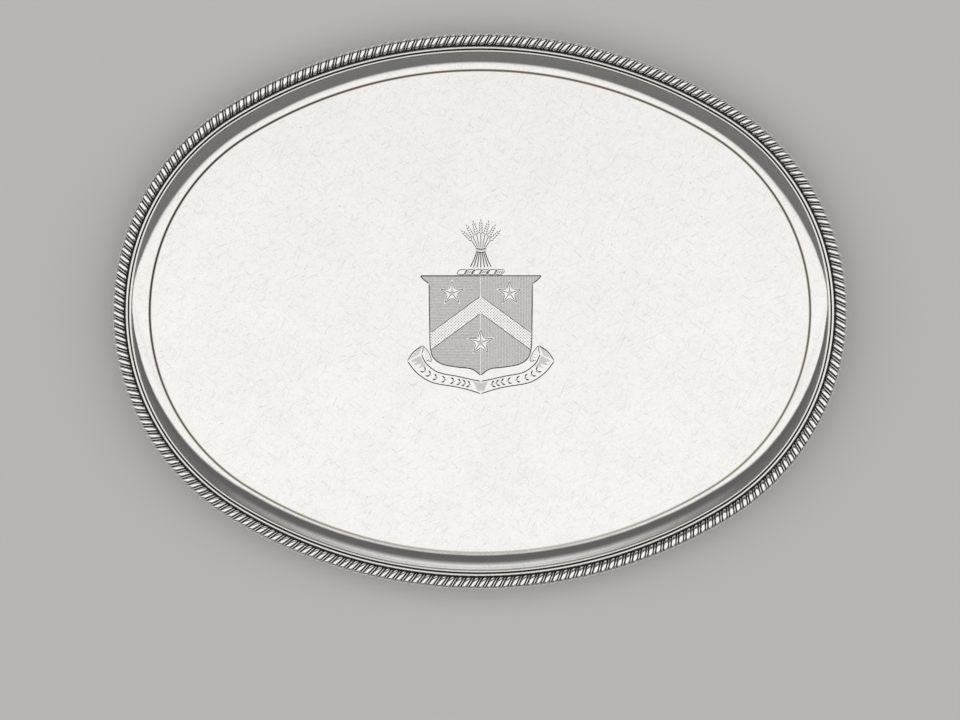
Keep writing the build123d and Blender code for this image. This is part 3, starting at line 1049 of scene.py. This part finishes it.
def makeFloor():
    half = studio["floorSize"] * mm / 2
    mesh = bpy.data.meshes.new("paper_floor")
    low = -studio["floorDrop"] * mm
    corners = [(-half, -half, low), (half, -half, low), (half, half, low), (-half, half, low)]
    mesh.from_pydata(corners, [], [(0, 1, 2, 3)])
    paper = bpy.data.materials.new("matt_paper")
    paper.use_nodes = True
    tree = paper.node_tree
    tree.nodes.clear()
    pale = addNode(tree, "BsdfDiffuse", {"Color": linear(studio["floor"])})
    addNode(tree, "OutputMaterial", {"Surface": pale})
    mesh.materials.append(paper)
    floor = bpy.data.objects.new("paper_floor", mesh)
    bpy.context.scene.collection.objects.link(floor)


# The studio is a tent of broad diffusers that run along X. A ray's angle from straight up, measured in
# the YZ plane as atan2(y + bow |x|, z), picks the diffuser it meets: dim grey towards the front, a wide
# white panel overhead and a dark gap behind it. The panel's edges are further back towards the sides, so
# a share of its shift there comes off the angle. A bright strip low at the back fades out sideways. Each
# is a list of (degrees, level).
diffusers = (
    (-90, 0.185), (-54, 0.175), (-46, 0.90), (-38, 0.98), (-10, 0.985), (-4, 1.015), (2, 0.985),
    (8, 0.92), (14, 0.98), (30, 1.0), (36, 0.13), (47, 0.13), (60, 0.15), (90, 0.17),
)
backStrip = ((0, 0.0), (58, 0.0), (66, 0.26), (74, 0.66), (82, 0.5), (90, 0.66))
panelShift = {"front": 19.0, "back": 8.0, "fullAt": 0.65}  # degrees, and the ray's |x| for all of it
stripEnds = (0.05, 0.6)  # the ray's |x| where the strip starts to fade and where it is gone


# A colour ramp over degrees. Its levels are greys, very slightly warm.
def levelRamp(tree, degrees, stops, first):
    share = addNode(tree, "MapRange", {"Value": degrees, "From Min": first, "From Max": 90.0})
    ramp = addNode(tree, "ValToRGB", {"Fac": share})
    elements = ramp.color_ramp.elements
    while len(elements) < len(stops):
        elements.new(0.5)
    for element, (place, level) in zip(elements, stops):
        element.position = (place - first) / (90 - first)
    for element, (place, level) in zip(elements, stops):
        element.color = (level, level * 0.998, level * 0.995, 1)
    return ramp


def makeWorld():
    world = bpy.data.worlds.new("studio")
    bpy.context.scene.world = world
    world.use_nodes = True
    tree = world.node_tree
    tree.nodes.clear()
    ray = addNode(tree, "TexCoord").outputs["Generated"]
    parts = addNode(tree, "SeparateXYZ", {"Vector": ray})
    sideways = addNode(tree, "Math", {0: parts.outputs["X"]}, operation="ABSOLUTE")
    bowed = addNode(tree, "Math", {
        0: sideways, 1: studio["diffuserBow"], 2: parts.outputs["Y"],
    }, operation="MULTIPLY_ADD")
    angle = addNode(tree, "Math", {0: bowed, 1: parts.outputs["Z"]}, operation="ARCTAN2")
    degrees = addNode(tree, "Math", {0: angle}, operation="DEGREES")
    shift = addNode(tree, "MapRange", {
        "Value": degrees, "From Min": -30.0, "From Max": 30.0,
        "To Min": panelShift["front"], "To Max": panelShift["back"],
    })
    outwards = addNode(tree, "MapRange", {
        "Value": sideways, "From Min": 0.0, "From Max": panelShift["fullAt"],
    }, interpolation_type="SMOOTHSTEP")
    shift = addNode(tree, "Math", {0: shift, 1: outwards}, operation="MULTIPLY")
    shifted = addNode(tree, "Math", {0: degrees, 1: shift}, operation="SUBTRACT")
    panels = levelRamp(tree, shifted, diffusers, -90)
    strip = levelRamp(tree, degrees, backStrip, 0)
    stripShare = addNode(tree, "MapRange", {
        "Value": sideways, "From Min": stripEnds[0], "From Max": stripEnds[1],
        "To Min": 1.0, "To Max": 0.0,
    }, interpolation_type="SMOOTHSTEP")
    total = addNode(tree, "Mix", {
        "Factor": stripShare, "A": panels, "B": strip,
    }, data_type="RGBA", blend_type="ADD")
    light = addNode(tree, "Background", {"Color": total, "Strength": 1.0})
    plain = addNode(tree, "Background", {"Color": linear(studio["background"]), "Strength": 1.0})
    seen = addNode(tree, "LightPath").outputs["Is Camera Ray"]
    both = addNode(tree, "MixShader", {"Fac": seen, 1: light, 2: plain})
    addNode(tree, "OutputWorld", {"Surface": both})


def makeCamera():
    data = bpy.data.cameras.new("camera")
    data.lens = studio["lens"]
    data.sensor_width = 36.0
    camera = bpy.data.objects.new("camera", data)
    bpy.context.scene.collection.objects.link(camera)
    aim = Vector((studio["aim"][0], studio["aim"][1], flangeTop)) * mm
    turn = math.radians(studio["cameraTurn"])
    back = Vector((math.sin(turn), 0, math.cos(turn)))
    camera.location = aim + back * studio["cameraHeight"] * mm
    camera.rotation_euler = (0, turn, 0)
    data.clip_start, data.clip_end = 0.01, 50
    bpy.context.scene.camera = camera


makeFloor()
makeWorld()
makeCamera()
bpy.context.scene.view_settings.view_transform = "Standard"
print("studio made")
